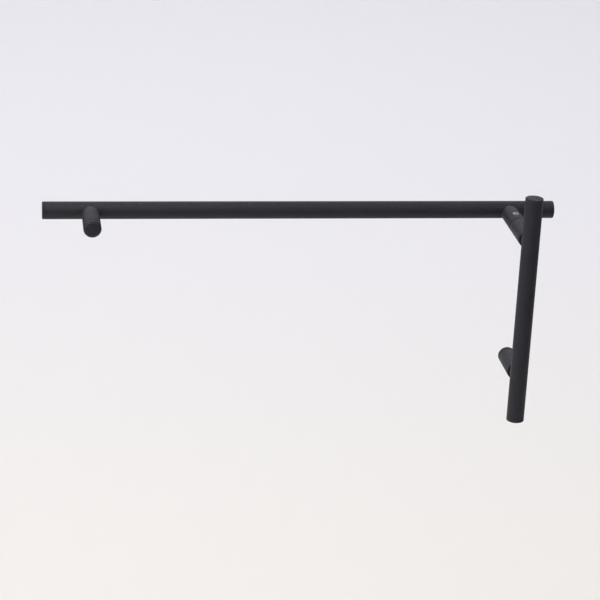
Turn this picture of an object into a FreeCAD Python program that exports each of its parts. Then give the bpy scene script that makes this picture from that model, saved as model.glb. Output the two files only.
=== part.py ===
import FreeCAD, Part
import Sketcher
import os
import re

# A back-to-back towel bar and pull handle set for a glass shower or pool enclosure door.
# A long level towel bar stands on two posts on the +Y face of the glass. A short upright pull
# handle stands on two posts on the -Y face. One through stud joins the two sets of posts at the
# corner, and each set's other post is clamped by its own back cap on the opposite face.
# The origin is the corner posts' axis at the middle of the glass, closed up as it is supplied.
# +X runs from the towel bar's far end to the corner, +Y is square to the glass, +Z is up.

DIMENSIONS = {
    # round tube, 3/4 in, and how far apart its posts stand
    "bar_diameter": 19.0,
    "tube_wall": 1.2,
    "towel_centres": 457.0,
    "handle_centres": 152.0,
    "overhang": 51.0,
    "bar_standoff": 55.5,
    # end plugs
    "plug_face": 2.5,
    "plug_spigot": 8.0,
    "plug_chamfer": 0.6,
    # posts, the narrower necks that are coped to the bars, and back caps
    "post_diameter": 19.0,
    "neck_diameter": 14.0,
    "neck_length": 5.0,
    "seam_chamfer": 0.35,
    "shoulder_chamfer": 0.8,
    "cap_thickness": 5.5,
    "cap_thread": 4.3,
    "cap_chamfer": 2.2,
    # what touches the glass
    "closed_gap": 0.3,
    "gasket_thickness": 1.0,
    "gasket_diameter": 18.4,
    "gasket_hole": 12.4,
    "sleeve_diameter": 11.8,
    "sleeve_bore": 8.2,
    "sleeve_length": 6.0,
    "counterbore_depth": 6.0,
    # M8 studs through the glass, with a running clearance where a post slides on one
    "glass_stud_diameter": 8.0,
    "running_clearance": 0.05,
    "glass_stud_reach": 30.0,
    "post_bore_reach": 31.5,
    "thread_chamfer": 0.8,
    # M6 studs that hold the saddles and posts to the inserts in the tubes
    "bar_stud_diameter": 6.0,
    "bar_stud_in_post": 7.0,
    "bar_stud_past_axis": 5.0,
    "bar_stud_hole": 6.4,
    "post_thread_depth": 8.0,
    "insert_length": 18.0,
    # M6 set screw that locks the towel bar's corner post on the through stud
    "screw_diameter": 6.0,
    "screw_height": 16.0,
    "screw_recess": 0.3,
    "screw_socket": 3.0,
    "screw_socket_depth": 2.0,
    "stud_flat_depth": 0.3,
}

# Heights are measured out from the middle of the glass along a post's own axis.
BAR_RADIUS = "bar_diameter / 2"
TUBE_BORE = "(bar_diameter / 2 - tube_wall)"
POST_RADIUS = "post_diameter / 2"
GLASS_FACE = "closed_gap / 2"
POST_FOOT = "(closed_gap / 2 + gasket_thickness)"
SEAM = "(bar_standoff - bar_diameter / 2 - neck_length)"
POST_LENGTH = "(bar_standoff - bar_diameter / 2 - neck_length - closed_gap / 2 - gasket_thickness)"
STUD_RADIUS = "glass_stud_diameter / 2"
SLIDING_BORE = "(glass_stud_diameter / 2 + running_clearance)"

# Each post stands at one of these places: an x and a z.
CORNER = ("0", "0")
LEFT = ("-towel_centres", "0")
LOWER = ("0", "-handle_centres")

# A post's own Z axis points away from the glass, to +Y on the towel side and -Y on the handle side.
SIDES = {
    "towel": ("", FreeCAD.Rotation(FreeCAD.Vector(1, 0, 0), -90)),
    "handle": ("-", FreeCAD.Rotation(FreeCAD.Vector(1, 0, 0), 90)),
}

doc = FreeCAD.newDocument("towel_bar_and_pull_handle")
dims = doc.addObject("Spreadsheet::Sheet", "dims")
for row, (alias, value) in enumerate(DIMENSIONS.items(), start=1):
    dims.set("A%d" % row, alias)
    dims.set("B%d" % row, str(value))
    dims.setAlias("B%d" % row, alias)
doc.recompute()


ALIASES = re.compile(r"\b(%s)\b" % "|".join(DIMENSIONS))


def bind(item, field, expression):
    """Bind a field to the sheet, where every alias in the expression is looked up."""
    item.setExpression(field, ALIASES.sub(r"dims.\1", expression))


def origin_plane(body, role):
    return next(item for item in body.Origin.OriginFeatures if item.Role == role)


def turned(name, outline):
    """A piece turned on a lathe: (radius, height) corners of its half section, spun about Z."""
    body = doc.addObject("PartDesign::Body", name)
    sketch = body.newObject("Sketcher::SketchObject", name + "_section")
    sketch.AttachmentSupport = (origin_plane(body, "XZ_Plane"), [""])
    sketch.MapMode = "FlatFace"
    starts = [FreeCAD.Vector(1 + index, index * index, 0) for index in range(len(outline))]
    for index, start in enumerate(starts):
        sketch.addGeometry(Part.LineSegment(start, starts[(index + 1) % len(starts)]))
    for index in range(len(outline)):
        following = (index + 1) % len(outline)
        sketch.addConstraint(Sketcher.Constraint("Coincident", index, 2, following, 1))
    for index, corner in enumerate(outline):
        for kind, axis, length in (("DistanceX", -2, corner[0]), ("DistanceY", -1, corner[1])):
            if length == "0":
                sketch.addConstraint(Sketcher.Constraint("PointOnObject", index, 1, axis))
            else:
                number = sketch.addConstraint(Sketcher.Constraint(kind, -1, 1, index, 1, 1.0 + index))
                label = "%s%d" % (kind, index)
                sketch.renameConstraint(number, label)
                bind(sketch, "Constraints." + label, length)
    spin = body.newObject("PartDesign::Revolution", name + "_spin")
    spin.Profile = sketch
    spin.ReferenceAxis = (sketch, ["V_Axis"])
    spin.Angle = 360
    sketch.Visibility = False
    body.Tip = spin
    return body


def rod(name, radius, length):
    piece = doc.addObject("Part::Cylinder", name)
    bind(piece, "Radius", radius)
    bind(piece, "Height", length)
    return piece


def cut(name, base, *tools):
    """Take the tools away from the base, and give the result the node's name."""
    for number, tool in enumerate(tools, start=1):
        piece = doc.addObject("Part::Cut", name if number == len(tools) else "%s_cut%d" % (name, number))
        piece.Base = base
        piece.Tool = tool
        base = piece
    return base


def locate(item, rotation, x="0", y="0", z="0"):
    item.Placement = FreeCAD.Placement(FreeCAD.Vector(), rotation)
    for field, length in (("x", x), ("y", y), ("z", z)):
        if length != "0":
            bind(item, "Placement.Base." + field, length)
    return item


def stand(item, side, post, height="0"):
    """Stand a piece on a post's axis, its own Z pointing out from the glass, from this height."""
    sign, rotation = SIDES[side]
    return locate(item, rotation, x=post[0], y="%s(%s)" % (sign, height), z=post[1])


# ---- the two bars: tube, end plugs and the tapped inserts inside ----

# A bar's own Z axis runs along it, with the corner post at zero.
BARS = {
    "towel": {
        "name": "towel_bar",
        "runs_along": "x",
        "rotation": FreeCAD.Rotation(FreeCAD.Vector(0, 1, 0), 90),
        "y": "bar_standoff",
        "centres": "towel_centres",
        "far_post": LEFT,
        "far_name": "left",
        "ends": ("right", "left"),
    },
    "handle": {
        "name": "pull_handle",
        "runs_along": "z",
        "rotation": FreeCAD.Rotation(),
        "y": "-bar_standoff",
        "centres": "handle_centres",
        "far_post": LOWER,
        "far_name": "lower",
        "ends": ("top", "bottom"),
    },
}
HALF_TURN = FreeCAD.Rotation(FreeCAD.Vector(1, 0, 0), 180)


def along(item, side, distance, turn=FreeCAD.Rotation()):
    """Lay a piece along a side's bar, starting this far from the corner post."""
    bar = BARS[side]
    return locate(item, bar["rotation"].multiply(turn), y=bar["y"], **{bar["runs_along"]: distance})


def bar_cylinder(name, side, radius, trim):
    """A cylinder the length of the bar, shorter by the trim at each end."""
    centres = BARS[side]["centres"]
    piece = rod(name, radius, "%s + 2 * overhang - 2 * %s" % (centres, trim))
    return along(piece, side, "-%s - overhang + %s" % (centres, trim))


def make_tube(side):
    name = BARS[side]["name"] + "_tube"
    outside = bar_cylinder(name + "_outside", side, BAR_RADIUS, "plug_face")
    inside = bar_cylinder(name + "_inside", side, TUBE_BORE, "plug_face")
    holes = []
    for post in (CORNER, BARS[side]["far_post"]):
        hole = rod("%s_hole%d" % (name, len(holes)), "bar_stud_hole / 2", BAR_RADIUS)
        holes.append(stand(hole, side, post, "bar_standoff - bar_diameter / 2 - tube_wall"))
    return cut(name, outside, inside, *holes)


PLUG_OUTLINE = (
    ("0", "0"),
    ("bar_diameter / 2 - plug_chamfer", "0"),
    (BAR_RADIUS, "plug_chamfer"),
    (BAR_RADIUS, "plug_face"),
    (TUBE_BORE, "plug_face"),
    (TUBE_BORE, "plug_face + plug_spigot"),
    ("0", "plug_face + plug_spigot"),
)


def make_plugs(side):
    """A plug is turned from its face inwards, so the one at the corner's end is turned round."""
    near_end, far_end = BARS[side]["ends"]
    far_plug = turned("%s_end_plug_%s" % (BARS[side]["name"], far_end), PLUG_OUTLINE)
    along(far_plug, side, "-%s - overhang" % BARS[side]["centres"])
    near_plug = turned("%s_end_plug_%s" % (BARS[side]["name"], near_end), PLUG_OUTLINE)
    along(near_plug, side, "overhang", HALF_TURN)
    return [near_plug, far_plug]


def make_insert(side, post, place, distance):
    name = "%s_insert_%s" % (BARS[side]["name"], place)
    blank = along(rod(name + "_blank", TUBE_BORE, "insert_length"), side, distance)
    thread = rod(name + "_thread", "bar_stud_diameter / 2", "bar_diameter")
    stand(thread, side, post, "bar_standoff - bar_diameter / 2")
    return cut(name, blank, thread)


# ---- the posts, each with a narrower coped saddle against its bar ----

SADDLE_OUTLINE = (
    ("bar_stud_hole / 2", "0"),
    ("neck_diameter / 2", "0"),
    ("neck_diameter / 2", "neck_length + bar_diameter / 2"),
    ("bar_stud_hole / 2", "neck_length + bar_diameter / 2"),
)


def make_saddle(side, post, place):
    name = "%s_saddle_%s" % (side, place)
    blank = stand(turned(name + "_blank", SADDLE_OUTLINE), side, post, SEAM)
    cope = bar_cylinder(name + "_cope", side, BAR_RADIUS, "plug_face")
    return cut(name, blank, cope)


def post_outline(bore):
    """Blind from the glass end: counterbore, then the stud's bore. Tapped from the bar end."""
    thread = "bar_stud_diameter / 2"
    return (
        ("gasket_hole / 2", "0"),
        ("post_diameter / 2 - seam_chamfer", "0"),
        (POST_RADIUS, "seam_chamfer"),
        (POST_RADIUS, POST_LENGTH + " - shoulder_chamfer"),
        ("post_diameter / 2 - shoulder_chamfer", POST_LENGTH),
        (thread, POST_LENGTH),
        (thread, POST_LENGTH + " - post_thread_depth"),
        ("0", POST_LENGTH + " - post_thread_depth"),
        ("0", "post_bore_reach - " + POST_FOOT),
        (bore, "post_bore_reach - " + POST_FOOT),
        (bore, "counterbore_depth"),
        ("gasket_hole / 2", "counterbore_depth"),
    )


def make_post(name, side, post, bore):
    return stand(turned(name, post_outline(bore)), side, post, POST_FOOT)


def stud_outline(radius, length):
    return (
        ("0", "0"),
        (radius + " - thread_chamfer", "0"),
        (radius, "thread_chamfer"),
        (radius, length + " - thread_chamfer"),
        (radius + " - thread_chamfer", length),
        ("0", length),
    )


def make_bar_studs(side, posts):
    """The two studs that hold a bar to its posts are alike, so they are one group."""
    length = "(bar_stud_in_post + neck_length + bar_diameter / 2 + bar_stud_past_axis)"
    studs = []
    for post in posts:
        stud = turned("%s_bar_stud%d" % (side, len(studs)), stud_outline("bar_stud_diameter / 2", length))
        studs.append(stand(stud, side, post, SEAM + " - bar_stud_in_post"))
    group = doc.addObject("Part::Compound", side + "_bar_studs")
    group.Links = studs
    return group


# ---- what closes on the glass: gaskets, sleeves, back caps and their studs ----

def ring_outline(bore, outside, thickness):
    return ((bore, "0"), (outside, "0"), (outside, thickness), (bore, thickness))


def make_gasket(name, side, post):
    outline = ring_outline("gasket_hole / 2", "gasket_diameter / 2", "gasket_thickness")
    return stand(turned(name, outline), side, post, GLASS_FACE)


def make_sleeve(name, side, post):
    """The sleeve rests on the far face's foot and reaches through the glass into this post."""
    outline = ring_outline("sleeve_bore / 2", "sleeve_diameter / 2", "sleeve_length")
    return stand(turned(name, outline), side, post, "-" + POST_FOOT)


CAP_OUTLINE = (
    (STUD_RADIUS, "0"),
    ("post_diameter / 2 - seam_chamfer", "0"),
    (POST_RADIUS, "seam_chamfer"),
    (POST_RADIUS, "cap_thickness - cap_chamfer"),
    ("post_diameter / 2 - cap_chamfer", "cap_thickness"),
    ("0", "cap_thickness"),
    ("0", "cap_thread"),
    (STUD_RADIUS, "cap_thread"),
)


def make_back_cap(side, cap_side, post):
    """The cap of one side's outer post, on the other face of the glass, with what it carries."""
    cap = stand(turned(side + "_back_cap", CAP_OUTLINE), cap_side, post, POST_FOOT)
    length = "(glass_stud_reach + %s + cap_thread)" % POST_FOOT
    stud = turned(side + "_cap_stud", stud_outline(STUD_RADIUS, length))
    stand(stud, side, post, "-(%s + cap_thread)" % POST_FOOT)
    gasket = make_gasket(side + "_cap_gasket", cap_side, post)
    sleeve = make_sleeve(side + "_cap_sleeve", side, post)
    return [cap, stud, gasket, sleeve]


def make_corner_stud():
    """One stud through the glass, screwed into the handle's post, with a flat for the set screw."""
    blank = turned("corner_stud_blank", stud_outline(STUD_RADIUS, "(2 * glass_stud_reach)"))
    stand(blank, "towel", CORNER, "-glass_stud_reach")
    mill = doc.addObject("Part::Box", "corner_stud_mill")
    bind(mill, "Length", "glass_stud_diameter")
    bind(mill, "Width", "glass_stud_reach - counterbore_depth")
    bind(mill, "Height", "glass_stud_diameter")
    locate(mill, FreeCAD.Rotation(), x="-" + STUD_RADIUS, y="counterbore_depth + 2 * gasket_thickness",
           z="glass_stud_diameter / 2 - stud_flat_depth")
    return cut("corner_stud", blank, mill)


def make_corner_post_of_towel_bar():
    """This post slides on the corner stud, and is drilled and tapped on top for the set screw."""
    blank = make_post("towel_post_corner_blank", "towel", CORNER, SLIDING_BORE)
    hole = rod("towel_post_corner_screw_hole", "screw_diameter / 2", POST_RADIUS)
    locate(hole, FreeCAD.Rotation(), y="screw_height")
    return cut("towel_post_corner", blank, hole)


def make_set_screw():
    radius = "screw_diameter / 2"
    length = "(post_diameter / 2 - screw_recess - glass_stud_diameter / 2)"
    blank = turned("corner_set_screw_blank", stud_outline(radius, length))
    locate(blank, FreeCAD.Rotation(), y="screw_height", z=STUD_RADIUS)
    socket = doc.addObject("Part::Prism", "corner_set_screw_socket")
    socket.Polygon = 6
    bind(socket, "Circumradius", "screw_socket / sqrt(3)")
    bind(socket, "Height", "screw_socket_depth")
    locate(socket, FreeCAD.Rotation(), y="screw_height",
           z="post_diameter / 2 - screw_recess - screw_socket_depth")
    return cut("corner_set_screw", blank, socket)


# ---- put the set together ----

pieces = []
for side, bar in BARS.items():
    far_post, far_name, centres = bar["far_post"], bar["far_name"], bar["centres"]
    pieces.append(make_tube(side))
    pieces.extend(make_plugs(side))
    pieces.append(make_insert(side, CORNER, "corner", "-insert_length / 2"))
    pieces.append(make_insert(side, far_post, far_name, "-%s - insert_length / 2" % centres))
    pieces.append(make_saddle(side, CORNER, "corner"))
    pieces.append(make_saddle(side, far_post, far_name))
    pieces.append(make_post("%s_post_%s" % (side, far_name), side, far_post, SLIDING_BORE))
    pieces.append(make_bar_studs(side, (CORNER, far_post)))
    pieces.append(make_gasket(side + "_gasket_corner", side, CORNER))
    pieces.append(make_gasket("%s_gasket_%s" % (side, far_name), side, far_post))
pieces.append(make_corner_post_of_towel_bar())
pieces.append(make_post("handle_post_corner", "handle", CORNER, STUD_RADIUS))
pieces.append(make_corner_stud())
pieces.append(make_sleeve("corner_sleeve", "towel", CORNER))
pieces.append(make_set_screw())
pieces.extend(make_back_cap("towel", "handle", LEFT))
pieces.extend(make_back_cap("handle", "towel", LOWER))
doc.recompute()

faults = [item.Name for item in doc.Objects if "Invalid" in item.State or "Error" in item.State]
for piece in pieces:
    if piece.Shape.isNull() or not piece.Shape.isValid() or not piece.Shape.Solids:
        faults.append(piece.Label)
if faults:
    raise RuntimeError("not built: " + ", ".join(faults))

os.makedirs("parts", exist_ok=True)
for piece in pieces:
    piece.Shape.exportStep(os.path.join("parts", piece.Label + ".step"))
print("%d nodes written" % len(pieces))
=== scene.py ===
import math

import bmesh
import bpy
from mathutils import Matrix, Vector


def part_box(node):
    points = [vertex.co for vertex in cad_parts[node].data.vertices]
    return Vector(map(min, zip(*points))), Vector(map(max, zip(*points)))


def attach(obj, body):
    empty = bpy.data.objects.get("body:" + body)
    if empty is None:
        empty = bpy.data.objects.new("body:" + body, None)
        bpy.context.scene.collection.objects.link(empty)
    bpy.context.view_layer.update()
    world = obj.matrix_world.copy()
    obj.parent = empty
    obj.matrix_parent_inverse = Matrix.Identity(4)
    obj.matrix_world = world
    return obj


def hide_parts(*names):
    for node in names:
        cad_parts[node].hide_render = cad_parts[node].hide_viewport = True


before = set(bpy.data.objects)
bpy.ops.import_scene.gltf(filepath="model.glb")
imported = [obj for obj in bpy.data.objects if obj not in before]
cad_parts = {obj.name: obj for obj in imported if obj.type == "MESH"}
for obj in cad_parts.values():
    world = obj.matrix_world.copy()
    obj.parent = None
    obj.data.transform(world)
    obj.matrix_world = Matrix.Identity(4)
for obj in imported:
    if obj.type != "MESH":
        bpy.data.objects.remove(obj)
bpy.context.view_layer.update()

MM = 0.001

# ---------------------------------------------------------------- camera
# A long lens, a little to the left of the set, above it and leaning slightly, as when it is held
# by hand over a light box.
CAMERA_PLACE = Vector((-0.5578, -2.1309, 0.7600))
CAMERA_HEADING = math.radians(8.646)
CAMERA_DROP = math.radians(21.365)
CAMERA_LEAN = math.radians(2.73)

lens = bpy.data.cameras.new("camera")
lens.sensor_width = 36.0
lens.lens = 129.2
camera = bpy.data.objects.new("camera", lens)
camera.matrix_world = (
    Matrix.Translation(CAMERA_PLACE)
    @ Matrix.Rotation(-CAMERA_HEADING, 4, "Z")
    @ Matrix.Rotation(math.pi / 2 - CAMERA_DROP, 4, "X")
    @ Matrix.Rotation(CAMERA_LEAN, 4, "Z")
)
bpy.context.scene.collection.objects.link(camera)
bpy.context.scene.camera = camera

# ---------------------------------------------------------------- floor, backdrop and light
# A white studio sweep: a round floor that turns up into a wall all the way round. The set hangs
# above it, as it does on its glass. A pale sky and two soft boxes light it, and three black cards
# give the dark coat its shaded sides.
FLOOR_DROP = 1.0
SWEEP_RADIUS = 9.0
SWEEP_BEND = 3.0
SWEEP_HEIGHT = 9.0
SWEEP_STEPS = 24
SWEEP_SIDES = 96

sweep_line = [(0.0, 0.0), (SWEEP_RADIUS - SWEEP_BEND, 0.0)]
for step in range(1, SWEEP_STEPS + 1):
    turn = math.pi / 2 * step / SWEEP_STEPS
    sweep_line.append((
        SWEEP_RADIUS - SWEEP_BEND + SWEEP_BEND * math.sin(turn),
        SWEEP_BEND * (1 - math.cos(turn)),
    ))
sweep_line.append((SWEEP_RADIUS, SWEEP_HEIGHT))

sweep_mesh = bmesh.new()
centre = sweep_mesh.verts.new((0, 0, -FLOOR_DROP))
rings = []
for radius, height in sweep_line[1:]:
    ring = []
    for side in range(SWEEP_SIDES):
        turn = 2 * math.pi * side / SWEEP_SIDES
        corner = Vector((radius * math.cos(turn), radius * math.sin(turn), height - FLOOR_DROP))
        ring.append(sweep_mesh.verts.new(corner))
    rings.append(ring)
for side in range(SWEEP_SIDES):
    following = (side + 1) % SWEEP_SIDES
    sweep_mesh.faces.new((centre, rings[0][side], rings[0][following]))
    for lower, upper in zip(rings, rings[1:]):
        sweep_mesh.faces.new((lower[side], upper[side], upper[following], lower[following]))
for face in sweep_mesh.faces:
    face.smooth = True
sweep = bpy.data.objects.new("studio_sweep", bpy.data.meshes.new("studio_sweep"))
sweep_mesh.to_mesh(sweep.data)
sweep_mesh.free()
bpy.context.scene.collection.objects.link(sweep)


def add_node(tree, kind, place, **values):
    """Adds a shader node, sets what it is told and returns it."""
    node = tree.nodes.new(kind)
    node.location = place
    for key, value in values.items():
        if key in node.inputs:
            node.inputs[key].default_value = value
        else:
            setattr(node, key, value)
    return node


# the sweep is painted warm white near the set and cool white further back, at one brightness: painted
# warm and cool light
WARM_WHITE = (0.89, 0.86, 0.80, 1)
COOL_WHITE = (0.86, 0.855, 0.885, 1)
WARM_UNTIL = 0.8
COOL_FROM = 3.2

sweep_paint = bpy.data.materials.new("studio_sweep_paint")
sweep_paint.use_nodes = True
sweep_tree = sweep_paint.node_tree
sweep_shader = sweep_tree.nodes["Principled BSDF"]
sweep_shader.inputs["Roughness"].default_value = 0.9
sweep_place = add_node(sweep_tree, "ShaderNodeTexCoord", (-900, 0))
sweep_split = add_node(sweep_tree, "ShaderNodeSeparateXYZ", (-700, 0))
sweep_reach = add_node(sweep_tree, "ShaderNodeMapRange", (-500, 0))
sweep_reach.inputs["From Min"].default_value = WARM_UNTIL
sweep_reach.inputs["From Max"].default_value = COOL_FROM
sweep_light_tint = add_node(sweep_tree, "ShaderNodeMix", (-250, 0), data_type="RGBA")
sweep_light_tint.inputs["A"].default_value = WARM_WHITE
sweep_light_tint.inputs["B"].default_value = COOL_WHITE
sweep_tree.links.new(sweep_place.outputs["Object"], sweep_split.inputs[0])
sweep_tree.links.new(sweep_split.outputs["Y"], sweep_reach.inputs["Value"])
sweep_tree.links.new(sweep_reach.outputs["Result"], sweep_light_tint.inputs["Factor"])
sweep_tree.links.new(sweep_light_tint.outputs["Result"], sweep_shader.inputs["Base Color"])
sweep.data.materials.append(sweep_paint)

world = bpy.data.worlds.new("studio")
world.use_nodes = True
sky = world.node_tree.nodes["Background"]
sky.inputs["Color"].default_value = (0.90, 0.92, 1.0, 1)
sky.inputs["Strength"].default_value = 0.84
bpy.context.scene.world = world


def soft_light(name, place, aim, wide, high, watts, colour):
    """A soft box at a place, turned to face the aim."""
    lamp = bpy.data.lights.new(name, "AREA")
    lamp.shape = "RECTANGLE"
    lamp.size = wide
    lamp.size_y = high
    lamp.energy = watts
    lamp.color = colour
    holder = bpy.data.objects.new(name, lamp)
    holder.location = place
    holder.rotation_euler = (Vector(aim) - Vector(place)).to_track_quat("-Z", "Y").to_euler()
    bpy.context.scene.collection.objects.link(holder)


soft_light("key_softbox", (-2.2, -1.2, 2.6), (-0.2, 0, 0), 2.0, 2.0, 62, (1.0, 0.98, 0.95))
soft_light("back_softbox", (-0.5, 4.5, 4.5), (-0.2, 3.0, -1.0), 5.0, 3.0, 85, (1.0, 0.97, 0.94))

flag_paint = bpy.data.materials.new("flag_black")
flag_paint.use_nodes = True
flag_shader = flag_paint.node_tree.nodes["Principled BSDF"]
flag_shader.inputs["Base Color"].default_value = (0.01, 0.01, 0.01, 1)
flag_shader.inputs["Roughness"].default_value = 1.0


def black_flag(name, place, aim, size):
    """A black card that only shows in the set's own gloss, to shade one side of its tubes."""
    card_mesh = bmesh.new()
    bmesh.ops.create_grid(card_mesh, x_segments=1, y_segments=1, size=size / 2)
    card = bpy.data.objects.new(name, bpy.data.meshes.new(name))
    card_mesh.to_mesh(card.data)
    card_mesh.free()
    card.data.materials.append(flag_paint)
    card.location = place
    card.rotation_euler = (Vector(aim) - Vector(place)).to_track_quat("Z", "Y").to_euler()
    card.visible_camera = False
    card.visible_shadow = False
    card.visible_diffuse = False
    bpy.context.scene.collection.objects.link(card)


black_flag("right_flag", (1.6, -0.7, -0.5), (-0.1, 0, 0), 2.4)
black_flag("front_flag", (0.2, -1.5, -0.55), (0, 0, 0), 1.9)
black_flag("top_flag", (-0.2, 0.6, 1.2), (-0.2, 0.6, 0), 1.6)

bpy.context.scene.view_settings.view_transform = "Standard"

# ---------------------------------------------------------------- bar tubes
# The towel bar and the pull handle are straight lengths of round steel tube, cut square, lightly
# broken at the ends and powder coated fine matt black. The saddles stand against them.
TUBE_WALL = 1.2 * MM
TUBE_EDGE = 0.35 * MM
LATHE_SIDES = 96
SHARP_EDGE = math.radians(40)
RIGHT = Vector((1, 0, 0))
UP = Vector((0, 0, 1))
BACK = Vector((0, 1, 0))
FRONT = Vector((0, -1, 0))


def rounded(corners, steps=4):
    """Rounds the corners of a closed outline. Each corner is (along, radius, rounding)."""
    outline = []
    for index, (along, radius, rounding) in enumerate(corners):
        here = Vector((along, radius))
        if rounding == 0:
            outline.append(here)
            continue
        before = (Vector(corners[index - 1][:2]) - here).normalized()
        after = (Vector(corners[(index + 1) % len(corners)][:2]) - here).normalized()
        half = before.angle(after) / 2
        middle = here + (before + after).normalized() * (rounding / math.sin(half))
        first = here + before * (rounding / math.tan(half)) - middle
        last = here + after * (rounding / math.tan(half)) - middle
        sweep_angle = -first.angle_signed(last)
        for step in range(steps + 1):
            outline.append(middle + Matrix.Rotation(sweep_angle * step / steps, 2) @ first)
    return outline


def piece_from(build, name, material, sharp_edge=SHARP_EDGE):
    """Turns a finished bmesh into a smooth shaded piece with crisp edges."""
    bmesh.ops.remove_doubles(build, verts=build.verts, dist=1e-7)
    bmesh.ops.recalc_face_normals(build, faces=build.faces)
    for face in build.faces:
        face.smooth = True
    mesh = bpy.data.meshes.new(name)
    build.to_mesh(mesh)
    build.free()
    mesh.set_sharp_from_angle(angle=sharp_edge)
    mesh.materials.append(material)
    piece = bpy.data.objects.new(name, mesh)
    bpy.context.scene.collection.objects.link(piece)
    return piece


def lathe(outline, foot, axis, sides=LATHE_SIDES):
    """Spins an outline of (along, radius) points round an axis through the foot."""
    turn_to_axis = UP.rotation_difference(axis).to_matrix()
    build = bmesh.new()
    loops = []
    for along, radius in outline:
        if radius < 1e-6:
            loops.append([build.verts.new(foot + turn_to_axis @ Vector((0, 0, along)))] * sides)
            continue
        loop = []
        for side in range(sides):
            turn = 2 * math.pi * side / sides
            spoke = Vector((radius * math.cos(turn), radius * math.sin(turn), along))
            loop.append(build.verts.new(foot + turn_to_axis @ spoke))
        loops.append(loop)
    for index, loop in enumerate(loops):
        other = loops[(index + 1) % len(loops)]
        if loop[0] is loop[1] and other[0] is other[1]:
            continue
        for side in range(sides):
            following = (side + 1) % sides
            corners = [loop[side], loop[following], other[following], other[side]]
            build.faces.new(list(dict.fromkeys(corners)))
    return build


POWDER_BLACK = (0.0138, 0.0138, 0.0210, 1)
POWDER_ROUGHNESS = 0.6


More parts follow.
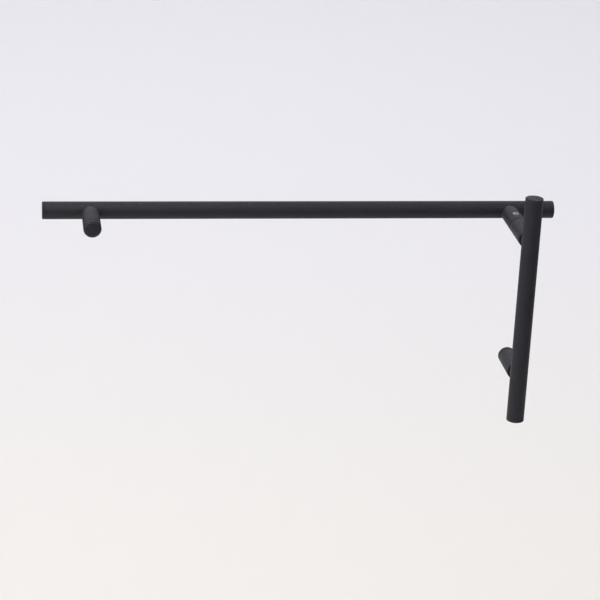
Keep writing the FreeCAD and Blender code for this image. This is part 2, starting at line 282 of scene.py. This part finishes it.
def powder_group():
    """Sprayed and baked powder: fine grain over orange peel, faint clouds, thin edges with a painted
    highlight, dust.
    """
    group = bpy.data.node_groups.new("powder_coat", "ShaderNodeTree")
    face = group.interface
    for name, kind, value in (
        ("Colour", "NodeSocketColor", POWDER_BLACK),
        ("Peel Size", "NodeSocketFloat", 700.0),
        ("Grain Size", "NodeSocketFloat", 3200.0),
        ("Roughness", "NodeSocketFloat", POWDER_ROUGHNESS),
        ("Dust", "NodeSocketFloat", 0.5),
    ):
        face.new_socket(name, in_out="INPUT", socket_type=kind).default_value = value
    face.new_socket("Colour", in_out="OUTPUT", socket_type="NodeSocketColor")
    face.new_socket("Roughness", in_out="OUTPUT", socket_type="NodeSocketFloat")
    face.new_socket("Height", in_out="OUTPUT", socket_type="NodeSocketFloat")
    start = add_node(group, "NodeGroupInput", (-1200, 0))
    end = add_node(group, "NodeGroupOutput", (1000, 0))
    link = group.links.new
    place = add_node(group, "ShaderNodeTexCoord", (-1200, -300)).outputs["Object"]
    shape = add_node(group, "ShaderNodeNewGeometry", (-1200, -600))

    peel = add_node(group, "ShaderNodeTexNoise", (-900, 300), Detail=2.0, Roughness=0.45)
    grain = add_node(group, "ShaderNodeTexNoise", (-900, 50), Detail=1.0, Roughness=0.5)
    clouds = add_node(group, "ShaderNodeTexNoise", (-900, -200), Scale=38.0, Detail=4.0, Roughness=0.6)
    specks = add_node(group, "ShaderNodeTexNoise", (-900, -450), Scale=1300.0, Detail=3.0, Roughness=0.7)
    for texture in (peel, grain, clouds, specks):
        link(place, texture.inputs["Vector"])
    link(start.outputs["Peel Size"], peel.inputs["Scale"])
    link(start.outputs["Grain Size"], grain.inputs["Scale"])

    grain_share = add_node(group, "ShaderNodeMath", (-650, 50), operation="MULTIPLY")
    grain_share.inputs[1].default_value = 0.35
    link(grain.outputs["Fac"], grain_share.inputs[0])
    height = add_node(group, "ShaderNodeMath", (-450, 200), operation="ADD")
    link(peel.outputs["Fac"], height.inputs[0])
    link(grain_share.outputs[0], height.inputs[1])
    link(height.outputs[0], end.inputs["Height"])

    # clouds: a little lighter and duller where the powder lies thicker
    shade = add_node(group, "ShaderNodeMapRange", (-650, -200))
    shade.inputs["From Min"].default_value = 0.3
    shade.inputs["From Max"].default_value = 0.7
    shade.inputs["To Min"].default_value = 0.86
    shade.inputs["To Max"].default_value = 1.16
    link(clouds.outputs["Fac"], shade.inputs["Value"])
    shaded = add_node(group, "ShaderNodeVectorMath", (-400, -50), operation="SCALE")
    link(start.outputs["Colour"], shaded.inputs[0])
    link(shade.outputs["Result"], shaded.inputs["Scale"])

    # edges: the powder draws back, so the tightest edges are smoother; they are also painted a touch
    # lighter, a painted highlight
    edge = add_node(group, "ShaderNodeMapRange", (-650, -600))
    edge.inputs["From Min"].default_value = 0.53
    edge.inputs["From Max"].default_value = 0.66
    link(shape.outputs["Pointiness"], edge.inputs["Value"])
    edge_share = add_node(group, "ShaderNodeMath", (-400, -600), operation="MULTIPLY")
    edge_share.inputs[1].default_value = 0.35
    link(edge.outputs["Result"], edge_share.inputs[0])
    edge_highlighted = add_node(group, "ShaderNodeMix", (-150, -50), data_type="RGBA")
    link(edge_share.outputs[0], edge_highlighted.inputs["Factor"])
    link(shaded.outputs[0], edge_highlighted.inputs["A"])
    edge_highlighted.inputs["B"].default_value = (0.075, 0.075, 0.078, 1)

    # dust: pale specks on what faces up
    split = add_node(group, "ShaderNodeSeparateXYZ", (-900, -750))
    link(shape.outputs["Normal"], split.inputs[0])
    upward = add_node(group, "ShaderNodeMapRange", (-650, -850))
    upward.inputs["From Min"].default_value = 0.45
    upward.inputs["From Max"].default_value = 1.0
    link(split.outputs["Z"], upward.inputs["Value"])
    speckled = add_node(group, "ShaderNodeMapRange", (-650, -450))
    speckled.inputs["From Min"].default_value = 0.5
    speckled.inputs["From Max"].default_value = 0.78
    link(specks.outputs["Fac"], speckled.inputs["Value"])
    settled = add_node(group, "ShaderNodeMath", (-400, -800), operation="MULTIPLY")
    link(upward.outputs["Result"], settled.inputs[0])
    link(speckled.outputs["Result"], settled.inputs[1])
    dusting = add_node(group, "ShaderNodeMath", (-150, -800), operation="MULTIPLY")
    link(settled.outputs[0], dusting.inputs[0])
    link(start.outputs["Dust"], dusting.inputs[1])
    dusted = add_node(group, "ShaderNodeMix", (100, -50), data_type="RGBA")
    link(dusting.outputs[0], dusted.inputs["Factor"])
    link(edge_highlighted.outputs["Result"], dusted.inputs["A"])
    dusted.inputs["B"].default_value = (0.30, 0.29, 0.28, 1)
    link(dusted.outputs["Result"], end.inputs["Colour"])

    # gloss: uneven with the clouds, smoother on edges, duller under dust
    uneven = add_node(group, "ShaderNodeMapRange", (-400, -350))
    uneven.inputs["From Min"].default_value = 0.3
    uneven.inputs["From Max"].default_value = 0.7
    uneven.inputs["To Min"].default_value = -0.05
    uneven.inputs["To Max"].default_value = 0.05
    link(clouds.outputs["Fac"], uneven.inputs["Value"])
    rough = add_node(group, "ShaderNodeMath", (-150, -350), operation="ADD")
    link(start.outputs["Roughness"], rough.inputs[0])
    link(uneven.outputs["Result"], rough.inputs[1])
    smoother = add_node(group, "ShaderNodeMath", (50, -350), operation="MULTIPLY_ADD")
    link(edge_share.outputs[0], smoother.inputs[0])
    smoother.inputs[1].default_value = -0.25
    link(rough.outputs[0], smoother.inputs[2])
    duller = add_node(group, "ShaderNodeMath", (250, -350), operation="MULTIPLY_ADD")
    link(dusting.outputs[0], duller.inputs[0])
    duller.inputs[1].default_value = 0.4
    link(smoother.outputs[0], duller.inputs[2])
    link(duller.outputs[0], end.inputs["Roughness"])
    return group


def matt_black(name, peel_size=700.0, dust=0.5):
    """Fine matt black powder coat, with its own peel and dust."""
    material = bpy.data.materials.new(name)
    material.use_nodes = True
    tree = material.node_tree
    shader = tree.nodes["Principled BSDF"]
    shader.inputs["Specular IOR Level"].default_value = 0.36
    coat = add_node(tree, "ShaderNodeGroup", (-600, 0), node_tree=powder)
    coat.inputs["Peel Size"].default_value = peel_size
    coat.inputs["Dust"].default_value = dust
    bump = add_node(tree, "ShaderNodeBump", (-300, -300), Strength=0.5, Distance=0.00003)
    tree.links.new(coat.outputs["Colour"], shader.inputs["Base Color"])
    tree.links.new(coat.outputs["Roughness"], shader.inputs["Roughness"])
    tree.links.new(coat.outputs["Height"], bump.inputs["Height"])
    tree.links.new(bump.outputs["Normal"], shader.inputs["Normal"])
    return material


powder = powder_group()
tube_powder = matt_black("matt_black_tube_powder")

# Each side of the glass: its body, which way its bar runs, and which way it stands off the glass.
TOWEL = {"body": "towel_half", "tube": "towel_bar_tube", "run": RIGHT, "across": UP, "out": BACK}
HANDLE = {"body": "handle_half", "tube": "pull_handle_tube", "run": UP, "across": RIGHT, "out": FRONT}


def centre_of(node):
    low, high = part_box(node)
    return (low + high) / 2


def reach_of(node, direction):
    """How far a node starts and stops along a direction, from the origin."""
    low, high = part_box(node)
    ends = sorted((low.dot(direction), high.dot(direction)))
    return ends[0], ends[1]


def across(node, direction):
    """A round node's radius, seen along any direction square to its axis."""
    start, stop = reach_of(node, direction)
    return (stop - start) / 2


for side in (TOWEL, HANDLE):
    tube, run = side["tube"], side["run"]
    start, stop = reach_of(tube, run)
    side["radius"] = across(tube, side["across"])
    side["standoff"] = centre_of(tube).dot(side["out"])
    length = stop - start
    outline = rounded([
        (0, side["radius"], TUBE_EDGE),
        (length, side["radius"], TUBE_EDGE),
        (length, side["radius"] - TUBE_WALL, 0),
        (0, side["radius"] - TUBE_WALL, 0),
    ])
    foot = side["out"] * side["standoff"] + run * start
    piece = piece_from(lathe(outline, foot, run), tube + "_piece", tube_powder)
    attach(piece, side["body"])
    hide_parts(tube)

# ---------------------------------------------------------------- end plugs
# A turned steel plug closes each end of each bar: a disc as wide as the tube, with a softened rim,
# on a spigot that is glued inside. A fine groove shows where disc and tube meet.
PLUG_RIM = 0.6 * MM
PLUG_GROOVE = 0.35 * MM

plug_powder = matt_black("matt_black_plug_powder", peel_size=850.0, dust=0.7)
PLUGS = (
    (TOWEL, "towel_bar_end_plug_left", 1),
    (TOWEL, "towel_bar_end_plug_right", -1),
    (HANDLE, "pull_handle_end_plug_bottom", 1),
    (HANDLE, "pull_handle_end_plug_top", -1),
)
for side, node, inward in PLUGS:
    axis = side["run"] * inward
    face, spigot_end = reach_of(node, axis)
    tube_end = reach_of(side["tube"], axis)[0]
    outline = rounded([
        (0, 0, 0),
        (0, side["radius"], PLUG_RIM),
        (tube_end - face, side["radius"], PLUG_GROOVE),
        (tube_end - face, side["radius"] - TUBE_WALL, 0),
        (spigot_end - face, side["radius"] - TUBE_WALL, 0.5 * MM),
        (spigot_end - face, 0, 0),
    ])
    foot = side["out"] * side["standoff"] + axis * face
    piece = piece_from(lathe(outline, foot, axis), node + "_piece", plug_powder)
    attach(piece, side["body"])
    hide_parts(node)

# ---------------------------------------------------------------- saddles
# A short collar between each post and its bar, narrower than both. Its outer end is coped to sit
# round the tube, its inner end stands on the post, and a stud passes through it.
SADDLE_EDGE = 0.2 * MM
COPE_EDGE = 0.25 * MM
STUD_HOLE = 3.2 * MM
COPE_RINGS = 6

post_powder = matt_black("matt_black_post_powder", peel_size=780.0, dust=0.6)


def coped_collar(side, foot_height, radius, middle):
    """A collar on a post's axis, from its foot to where it meets the round of the bar."""
    run, out = side["run"], side["out"]
    third = run.cross(out)
    build = bmesh.new()
    outline = rounded([
        (foot_height, STUD_HOLE, 0),
        (foot_height, radius, SADDLE_EDGE),
        (foot_height + 2 * SADDLE_EDGE, radius, 0),
    ])[:-1]
    loops = []
    for height, spoke in outline:
        loops.append([(spoke, height)] * LATHE_SIDES)
    top_spokes = [radius, radius - COPE_EDGE]
    for ring in range(1, COPE_RINGS + 1):
        top_spokes.append(radius - COPE_EDGE + (STUD_HOLE - radius + COPE_EDGE) * ring / COPE_RINGS)
    for index, spoke in enumerate(top_spokes):
        loop = []
        for number in range(LATHE_SIDES):
            offset = spoke * math.sin(2 * math.pi * number / LATHE_SIDES)
            height = side["standoff"] - math.sqrt(side["radius"] ** 2 - offset ** 2)
            loop.append((spoke, height - (COPE_EDGE if index == 0 else 0)))
        loops.append(loop)
    rings = []
    for loop in loops:
        ring = []
        for number, (spoke, height) in enumerate(loop):
            turn = 2 * math.pi * number / LATHE_SIDES
            ring.append(build.verts.new(
                middle + run * spoke * math.cos(turn) + third * spoke * math.sin(turn) + out * height
            ))
        rings.append(ring)
    for index, ring in enumerate(rings):
        other = rings[(index + 1) % len(rings)]
        for number in range(LATHE_SIDES):
            following = (number + 1) % LATHE_SIDES
            build.faces.new((ring[number], ring[following], other[following], other[number]))
    return build


def foot_on_glass(node):
    """A node's centre, brought back to the middle of the glass along the post's axis."""
    middle = centre_of(node)
    return Vector((middle.x, 0, middle.z))


SADDLES = (
    (TOWEL, "towel_saddle_corner"),
    (TOWEL, "towel_saddle_left"),
    (HANDLE, "handle_saddle_corner"),
    (HANDLE, "handle_saddle_lower"),
)
for side, node in SADDLES:
    foot_height = reach_of(node, side["out"])[0]
    radius = across(node, side["run"])
    build = coped_collar(side, foot_height, radius, foot_on_glass(node))
    piece = piece_from(build, node + "_piece", post_powder)
    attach(piece, side["body"])
    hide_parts(node)

# ---------------------------------------------------------------- posts
# Four turned steel posts. From the glass end each has a counterbore for the plastic sleeve and a
# deep M8 hole. From the bar end it is tapped M6 for the stud that holds the saddle and the bar.
POST_EDGE = 0.25 * MM
SHOULDER_CHAMFER = 0.8 * MM
COUNTERBORE = 6.2 * MM
COUNTERBORE_DEPTH = 6.0 * MM
GLASS_STUD_BORE = 4.05 * MM
BORE_REACH = 31.5 * MM
BAR_STUD_THREAD = 3.0 * MM
BAR_THREAD_DEPTH = 8.0 * MM


def post_outline(start, stop, radius):
    """Half the section of a post that starts and stops at these heights off the glass."""
    return rounded([
        (start, COUNTERBORE, 0.2 * MM),
        (start, radius, POST_EDGE),
        (stop - SHOULDER_CHAMFER, radius, 0.2 * MM),
        (stop, radius - SHOULDER_CHAMFER, 0.2 * MM),
        (stop, BAR_STUD_THREAD, 0),
        (stop - BAR_THREAD_DEPTH, BAR_STUD_THREAD, 0),
        (stop - BAR_THREAD_DEPTH, 0, 0),
        (BORE_REACH, 0, 0),
        (BORE_REACH, GLASS_STUD_BORE, 0),
        (start + COUNTERBORE_DEPTH, GLASS_STUD_BORE, 0.3 * MM),
        (start + COUNTERBORE_DEPTH, COUNTERBORE, 0),
    ])


def carve(piece, cutters):
    """Cuts closed shapes out of a piece, which leave their own material on what they cut."""
    for cutter in cutters:
        tool = piece.modifiers.new("cut", "BOOLEAN")
        tool.operation = "DIFFERENCE"
        tool.solver = "EXACT"
        tool.material_mode = "TRANSFER"
        tool.object = cutter
    bpy.context.view_layer.update()
    result = piece.evaluated_get(bpy.context.evaluated_depsgraph_get())
    carved = bpy.data.meshes.new_from_object(result)
    piece.modifiers.clear()
    piece.data = carved
    for cutter in cutters:
        bpy.data.objects.remove(cutter)
    for polygon in carved.polygons:
        polygon.use_smooth = True
    carved.set_sharp_from_angle(angle=SHARP_EDGE)


def steel_group():
    """Turned steel: tool lines square to an axis, uneven sheen, oil stains."""
    group = bpy.data.node_groups.new("turned_steel", "ShaderNodeTree")
    face = group.interface
    for name, kind, value in (
        ("Colour", "NodeSocketColor", (0.55, 0.55, 0.56, 1)),
        ("Lines", "NodeSocketVector", (60, 60, 4200)),
        ("Roughness", "NodeSocketFloat", 0.2),
        ("Stain", "NodeSocketFloat", 0.5),
    ):
        face.new_socket(name, in_out="INPUT", socket_type=kind).default_value = value
    face.new_socket("Colour", in_out="OUTPUT", socket_type="NodeSocketColor")
    face.new_socket("Roughness", in_out="OUTPUT", socket_type="NodeSocketFloat")
    face.new_socket("Height", in_out="OUTPUT", socket_type="NodeSocketFloat")
    start = add_node(group, "NodeGroupInput", (-1100, 0))
    end = add_node(group, "NodeGroupOutput", (700, 0))
    link = group.links.new
    place = add_node(group, "ShaderNodeTexCoord", (-1100, -300)).outputs["Object"]

    stretched = add_node(group, "ShaderNodeVectorMath", (-850, 100), operation="MULTIPLY")
    link(place, stretched.inputs[0])
    link(start.outputs["Lines"], stretched.inputs[1])
    lines = add_node(group, "ShaderNodeTexNoise", (-600, 100), Scale=1.0, Detail=3.0, Roughness=0.65)
    link(stretched.outputs[0], lines.inputs["Vector"])
    link(lines.outputs["Fac"], end.inputs["Height"])
    stains = add_node(group, "ShaderNodeTexNoise", (-600, -200), Scale=240.0, Detail=4.0, Roughness=0.6)
    link(place, stains.inputs["Vector"])

    stained = add_node(group, "ShaderNodeMapRange", (-350, -200))
    stained.inputs["From Min"].default_value = 0.48
    stained.inputs["From Max"].default_value = 0.72
    link(stains.outputs["Fac"], stained.inputs["Value"])
    share = add_node(group, "ShaderNodeMath", (-150, -200), operation="MULTIPLY")
    link(stained.outputs["Result"], share.inputs[0])
    link(start.outputs["Stain"], share.inputs[1])
    mixed = add_node(group, "ShaderNodeMix", (100, 0), data_type="RGBA")
    link(share.outputs[0], mixed.inputs["Factor"])
    link(start.outputs["Colour"], mixed.inputs["A"])
    mixed.inputs["B"].default_value = (0.20, 0.17, 0.13, 1)
    link(mixed.outputs["Result"], end.inputs["Colour"])

    lined = add_node(group, "ShaderNodeMath", (-150, 200), operation="MULTIPLY_ADD")
    link(lines.outputs["Fac"], lined.inputs[0])
    lined.inputs[1].default_value = 0.22
    link(start.outputs["Roughness"], lined.inputs[2])
    dulled = add_node(group, "ShaderNodeMath", (100, -300), operation="MULTIPLY_ADD")
    link(share.outputs[0], dulled.inputs[0])
    dulled.inputs[1].default_value = 0.25
    link(lined.outputs[0], dulled.inputs[2])
    link(dulled.outputs[0], end.inputs["Roughness"])
    return group


def bright_steel(name, lines):
    """Turned steel. Lines says how dense its tool lines are along X, Y and Z."""
    material = bpy.data.materials.new(name)
    material.use_nodes = True
    tree = material.node_tree
    shader = tree.nodes["Principled BSDF"]
    shader.inputs["Metallic"].default_value = 1.0
    turned = add_node(tree, "ShaderNodeGroup", (-600, 0), node_tree=steel)
    turned.inputs["Lines"].default_value = lines
    bump = add_node(tree, "ShaderNodeBump", (-300, -300), Strength=0.35, Distance=0.00001)
    tree.links.new(turned.outputs["Colour"], shader.inputs["Base Color"])
    tree.links.new(turned.outputs["Roughness"], shader.inputs["Roughness"])
    tree.links.new(turned.outputs["Height"], bump.inputs["Height"])
    tree.links.new(bump.outputs["Normal"], shader.inputs["Normal"])
    return material


steel = steel_group()
steel_along_z = bright_steel("turned_steel_along_z", (60, 60, 4200))

POSTS = (
    (TOWEL, "towel_post_corner"),
    (TOWEL, "towel_post_left"),
    (HANDLE, "handle_post_corner"),
    (HANDLE, "handle_post_lower"),
)
posts = {}
for side, node in POSTS:
    start, stop = reach_of(node, side["out"])
    outline = post_outline(start, stop, across(node, side["run"]))
    build = lathe(outline, foot_on_glass(node), side["out"])
    posts[node] = piece_from(build, node + "_piece", post_powder)

# The towel bar's corner post is drilled and tapped from above for the set screw, after coating,
# so its thread and countersink are bare metal.
SCREW_COUNTERSINK = 0.8 * MM
screw_low, screw_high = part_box("corner_set_screw")
screw_radius = (screw_high.x - screw_low.x) / 2
screw_middle = Vector((0, (screw_low.y + screw_high.y) / 2, 0))
post_radius = across("towel_post_corner", RIGHT)
hole_outline = (
    (screw_low.z, 0),
    (screw_low.z, screw_radius),
    (post_radius - SCREW_COUNTERSINK, screw_radius),
    (post_radius + SCREW_COUNTERSINK, screw_radius + 2 * SCREW_COUNTERSINK),
    (post_radius + SCREW_COUNTERSINK, 0),
)
hole = lathe(hole_outline, screw_middle, UP, sides=48)
carve(posts["towel_post_corner"], [piece_from(hole, "screw_hole", steel_along_z)])

for side, node in POSTS:
    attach(posts[node], side["body"])
    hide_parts(node)

# ---------------------------------------------------------------- threaded studs
# M8 studs pass through the glass and two caps or posts; M6 studs hold each bar to its posts. Each
# is a rod with a rolled thread. The corner stud has a flat for the set screw.
M8_PITCH = 1.25 * MM
M6_PITCH = 1.0 * MM
DEPTH_PER_PITCH = 0.61
FLANK_STEEPNESS = 1.6
ROOT_WIDTH = 0.3
THREAD_SIDES = 40
THREAD_STEPS = 10
STUD_CHAMFER = 0.8 * MM
THREAD_CREST = math.radians(30)
FLAT_DEPTH = 0.3 * MM
FLAT_BEFORE_SCREW = 3.5 * MM


def threaded_rod(start, stop, middle, axis, radius, pitch, flat=None):
    """A rod with a thread. A flat is (toward, from, to): where it faces and how far along it runs."""
    turn_to_axis = UP.rotation_difference(axis).to_matrix()
    build = bmesh.new()
    count = math.ceil((stop - start) / pitch * THREAD_STEPS)
    rings = []
    for step in range(count + 1):
        along = start + (stop - start) * step / count
        from_end = min(along - start, stop - along)
        ring = []
        for side in range(THREAD_SIDES):
            turn = 2 * math.pi * side / THREAD_SIDES
            phase = (along / pitch - side / THREAD_SIDES) % 1.0
            ridge = min(1.0, max(0.0, FLANK_STEEPNESS * abs(2 * phase - 1) - ROOT_WIDTH))
            out = radius - DEPTH_PER_PITCH * pitch * (1 - ridge)
            out = min(out, radius - STUD_CHAMFER + from_end)
            place = turn_to_axis @ Vector((out * math.cos(turn), out * math.sin(turn), along))
            if flat:
                toward, first, last = flat
                if first <= along <= last:
                    over = place.dot(toward) - (radius - FLAT_DEPTH)
                    if over > 0:
                        place -= toward * over
            ring.append(build.verts.new(middle + place))
        rings.append(ring)
    for lower, upper in zip(rings, rings[1:]):
        for side in range(THREAD_SIDES):
            following = (side + 1) % THREAD_SIDES
            build.faces.new((lower[side], lower[following], upper[following], upper[side]))
    build.faces.new(list(reversed(rings[0])))
    build.faces.new(rings[-1])
    return build


steel_along_y = bright_steel("turned_steel_along_y", (60, 4200, 60))
GLASS_STUDS = (
    ("corner_stud", "handle_half"),
    ("towel_cap_stud", "towel_cap"),
    ("handle_cap_stud", "handle_cap"),
)
for node, body in GLASS_STUDS:
    start, stop = reach_of(node, BACK)
    radius = across(node, RIGHT)
    flat = None
    if node == "corner_stud":
        flat = (UP, screw_middle.y - FLAT_BEFORE_SCREW, stop)
    build = threaded_rod(start, stop, foot_on_glass(node), BACK, radius, M8_PITCH, flat)
    piece = piece_from(build, node + "_piece", steel_along_y, THREAD_CREST)
    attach(piece, body)
    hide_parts(node)

BAR_STUD_RADIUS = 3.0 * MM
for side, node, saddles in (
    (TOWEL, "towel_bar_studs", ("towel_saddle_corner", "towel_saddle_left")),
    (HANDLE, "handle_bar_studs", ("handle_saddle_corner", "handle_saddle_lower")),
):
    start, stop = reach_of(node, side["out"])
    for number, saddle in enumerate(saddles):
        foot = foot_on_glass(saddle)
        build = threaded_rod(start, stop, foot, side["out"], BAR_STUD_RADIUS, M6_PITCH)
        piece = piece_from(build, "%s_piece_%d" % (node, number + 1), steel_along_y, THREAD_CREST)
        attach(piece, side["body"])
        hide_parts(node)

# ---------------------------------------------------------------- set screw
# An M6 cup-point screw with a 3 mm hexagon socket stands in the top of the corner post and bears
# on the stud's flat. Its thread fills the post's hole and its socket is open to the top.
SOCKET_FLATS = 3.0 * MM
SOCKET_DEPTH = 2.0 * MM
SOCKET_DRILL_POINT = 0.35 * MM
SOCKET_MOUTH = 0.3 * MM
CUP_RADIUS = 1.4 * MM
CUP_DEPTH = 0.4 * MM
CUP_RIM = 0.3 * MM
SCREW_CHAMFER = 0.35 * MM

screw_length = screw_high.z - screw_low.z
screw_outline = (
    (CUP_DEPTH, 0),
    (0, CUP_RADIUS),
    (0, CUP_RADIUS + CUP_RIM),
    (screw_radius - CUP_RADIUS - CUP_RIM, screw_radius),
    (screw_length - SCREW_CHAMFER, screw_radius),
    (screw_length, screw_radius - SCREW_CHAMFER),
    (screw_length, 0),
)
screw_foot = screw_middle + UP * screw_low.z
screw = piece_from(lathe(screw_outline, screw_foot, UP), "corner_set_screw_piece", steel_along_z)

# two cutters, each standing a little proud of the screw's top: the hexagon, and its chamfered mouth
socket_corner = SOCKET_FLATS / math.sqrt(3)
socket_outline = (
    (-SOCKET_DRILL_POINT, 0),
    (0, socket_corner),
    (SOCKET_DEPTH + 1 * MM, socket_corner),
    (SOCKET_DEPTH + 1 * MM, 0),
)
mouth_outline = (
    (-SOCKET_MOUTH, 0),
    (SOCKET_MOUTH, socket_corner + SOCKET_MOUTH),
    (SOCKET_MOUTH, 0),
)
screw_top = screw_middle + UP * screw_high.z
hexagon = lathe(socket_outline, screw_top - UP * SOCKET_DEPTH, UP, sides=6)
mouth = lathe(mouth_outline, screw_top, UP, sides=32)
cutters = [
    piece_from(hexagon, "socket_tool", steel_along_z),
    piece_from(mouth, "mouth_tool", steel_along_z),
]
carve(screw, cutters)
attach(screw, "towel_half")
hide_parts("corner_set_screw")

# ---------------------------------------------------------------- gaskets
# A thin black rubber ring under every post and cap keeps metal off the glass. Moulded, so its
# edges are soft, with fine ribs of flash and a little dusty bloom.
GASKET_HOLE = 6.2 * MM
GASKET_EDGE = 0.3 * MM


def worn_plastic(name, colour, second, scale, roughness, bump_depth):
    """Rubber or nylon: two close colours in soft clouds, and a fine moulded grain."""
    material = bpy.data.materials.new(name)
    material.use_nodes = True
    tree = material.node_tree
    link = tree.links.new
    shader = tree.nodes["Principled BSDF"]
    place = add_node(tree, "ShaderNodeTexCoord", (-1000, 0)).outputs["Object"]
    clouds = add_node(tree, "ShaderNodeTexNoise", (-800, 100), Scale=scale, Detail=4.0, Roughness=0.6)
    grain = add_node(tree, "ShaderNodeTexNoise", (-800, -250), Scale=2600.0, Detail=2.0, Roughness=0.5)
    link(place, clouds.inputs["Vector"])
    link(place, grain.inputs["Vector"])
    spread = add_node(tree, "ShaderNodeMapRange", (-600, 100))
    spread.inputs["From Min"].default_value = 0.35
    spread.inputs["From Max"].default_value = 0.65
    link(clouds.outputs["Fac"], spread.inputs["Value"])
    mixed = add_node(tree, "ShaderNodeMix", (-350, 100), data_type="RGBA")
    link(spread.outputs["Result"], mixed.inputs["Factor"])
    mixed.inputs["A"].default_value = colour
    mixed.inputs["B"].default_value = second
    link(mixed.outputs["Result"], shader.inputs["Base Color"])
    uneven = add_node(tree, "ShaderNodeMath", (-350, -100), operation="MULTIPLY_ADD")
    link(clouds.outputs["Fac"], uneven.inputs[0])
    uneven.inputs[1].default_value = 0.2
    uneven.inputs[2].default_value = roughness - 0.1
    link(uneven.outputs[0], shader.inputs["Roughness"])
    bump = add_node(tree, "ShaderNodeBump", (-350, -300), Strength=0.5, Distance=bump_depth)
    link(grain.outputs["Fac"], bump.inputs["Height"])
    link(bump.outputs["Normal"], shader.inputs["Normal"])
    return material


rubber = worn_plastic(
    "black_rubber", (0.012, 0.012, 0.012, 1), (0.035, 0.034, 0.033, 1),
    scale=420.0, roughness=0.68, bump_depth=0.00003,
)

GASKETS = (
    ("towel_gasket_corner", "towel_half"),
    ("towel_gasket_left", "towel_half"),
    ("handle_gasket_corner", "handle_half"),
    ("handle_gasket_lower", "handle_half"),
    ("towel_cap_gasket", "towel_cap"),
    ("handle_cap_gasket", "handle_cap"),
)
for node, body in GASKETS:
    start, stop = reach_of(node, BACK)
    radius = across(node, RIGHT)
    outline = rounded([
        (start, GASKET_HOLE, GASKET_EDGE),
        (start, radius, GASKET_EDGE),
        (stop, radius, GASKET_EDGE),
        (stop, GASKET_HOLE, GASKET_EDGE),
    ])
    piece = piece_from(lathe(outline, foot_on_glass(node), BACK), node + "_piece", rubber)
    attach(piece, body)
    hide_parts(node)

# ---------------------------------------------------------------- glass sleeves
# A milky nylon bush round each M8 stud fills the hole in the glass and slides into the post. It
# is turned from rod, with a lead at each end.
SLEEVE_BORE = 4.1 * MM
SLEEVE_LEAD = 0.5 * MM

nylon = worn_plastic(
    "milky_nylon", (0.72, 0.71, 0.66, 1), (0.62, 0.60, 0.54, 1),
    scale=300.0, roughness=0.42, bump_depth=0.00002,
)
nylon_shader = nylon.node_tree.nodes["Principled BSDF"]
nylon_shader.inputs["Subsurface Weight"].default_value = 0.2
nylon_shader.inputs["Subsurface Scale"].default_value = 2 * MM

SLEEVES = (
    ("corner_sleeve", "handle_half"),
    ("towel_cap_sleeve", "towel_cap"),
    ("handle_cap_sleeve", "handle_cap"),
)
for node, body in SLEEVES:
    start, stop = reach_of(node, BACK)
    radius = across(node, RIGHT)
    outline = rounded([
        (start, SLEEVE_BORE, 0.2 * MM),
        (start, radius - SLEEVE_LEAD, 0.15 * MM),
        (start + SLEEVE_LEAD, radius, 0.15 * MM),
        (stop - SLEEVE_LEAD, radius, 0.15 * MM),
        (stop, radius - SLEEVE_LEAD, 0.15 * MM),
        (stop, SLEEVE_BORE, 0.2 * MM),
    ])
    piece = piece_from(lathe(outline, foot_on_glass(node), BACK), node + "_piece", nylon)
    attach(piece, body)
    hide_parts(node)

# ---------------------------------------------------------------- back caps
# A thick round nut covers the stud where only one side has a bar: its outer edge is chamfered,
# and its tapped hole stops short of the outer face.
CAP_CHAMFER = 2.2 * MM
CAP_THREAD = 4.3 * MM
CAP_EDGE = 0.2 * MM
CAP_HOLE = 4.0 * MM

cap_powder = matt_black("matt_black_cap_powder", peel_size=820.0, dust=0.6)
CAPS = (
    ("towel_back_cap", "towel_cap", FRONT),
    ("handle_back_cap", "handle_cap", BACK),
)
for node, body, away in CAPS:
    start, stop = reach_of(node, away)
    radius = across(node, RIGHT)
    outline = rounded([
        (start, CAP_HOLE, 0.3 * MM),
        (start, radius, 0.3 * MM),
        (stop - CAP_CHAMFER, radius, CAP_EDGE),
        (stop, radius - CAP_CHAMFER, CAP_EDGE),
        (stop, 0, 0),
        (start + CAP_THREAD, 0, 0),
        (start + CAP_THREAD, CAP_HOLE, 0),
    ])
    piece = piece_from(lathe(outline, foot_on_glass(node), away), node + "_piece", cap_powder)
    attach(piece, body)
    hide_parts(node)

# ---------------------------------------------------------------- inserts inside the tubes
# A solid steel slug inside each tube, at each post, is tapped for the M6 stud. It is hidden, so
# the designed shape is carried over with a machined finish.
steel_along_x = bright_steel("turned_steel_along_x", (4200, 60, 60))
INSERTS = (
    ("towel_bar_insert_corner", steel_along_x),
    ("towel_bar_insert_left", steel_along_x),
    ("pull_handle_insert_corner", steel_along_z),
    ("pull_handle_insert_lower", steel_along_z),
)
for node, material in INSERTS:
    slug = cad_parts[node]
    slug.data.materials.clear()
    slug.data.materials.append(material)
    for polygon in slug.data.polygons:
        polygon.material_index = 0
        polygon.use_smooth = True
    slug.data.set_sharp_from_angle(angle=SHARP_EDGE)
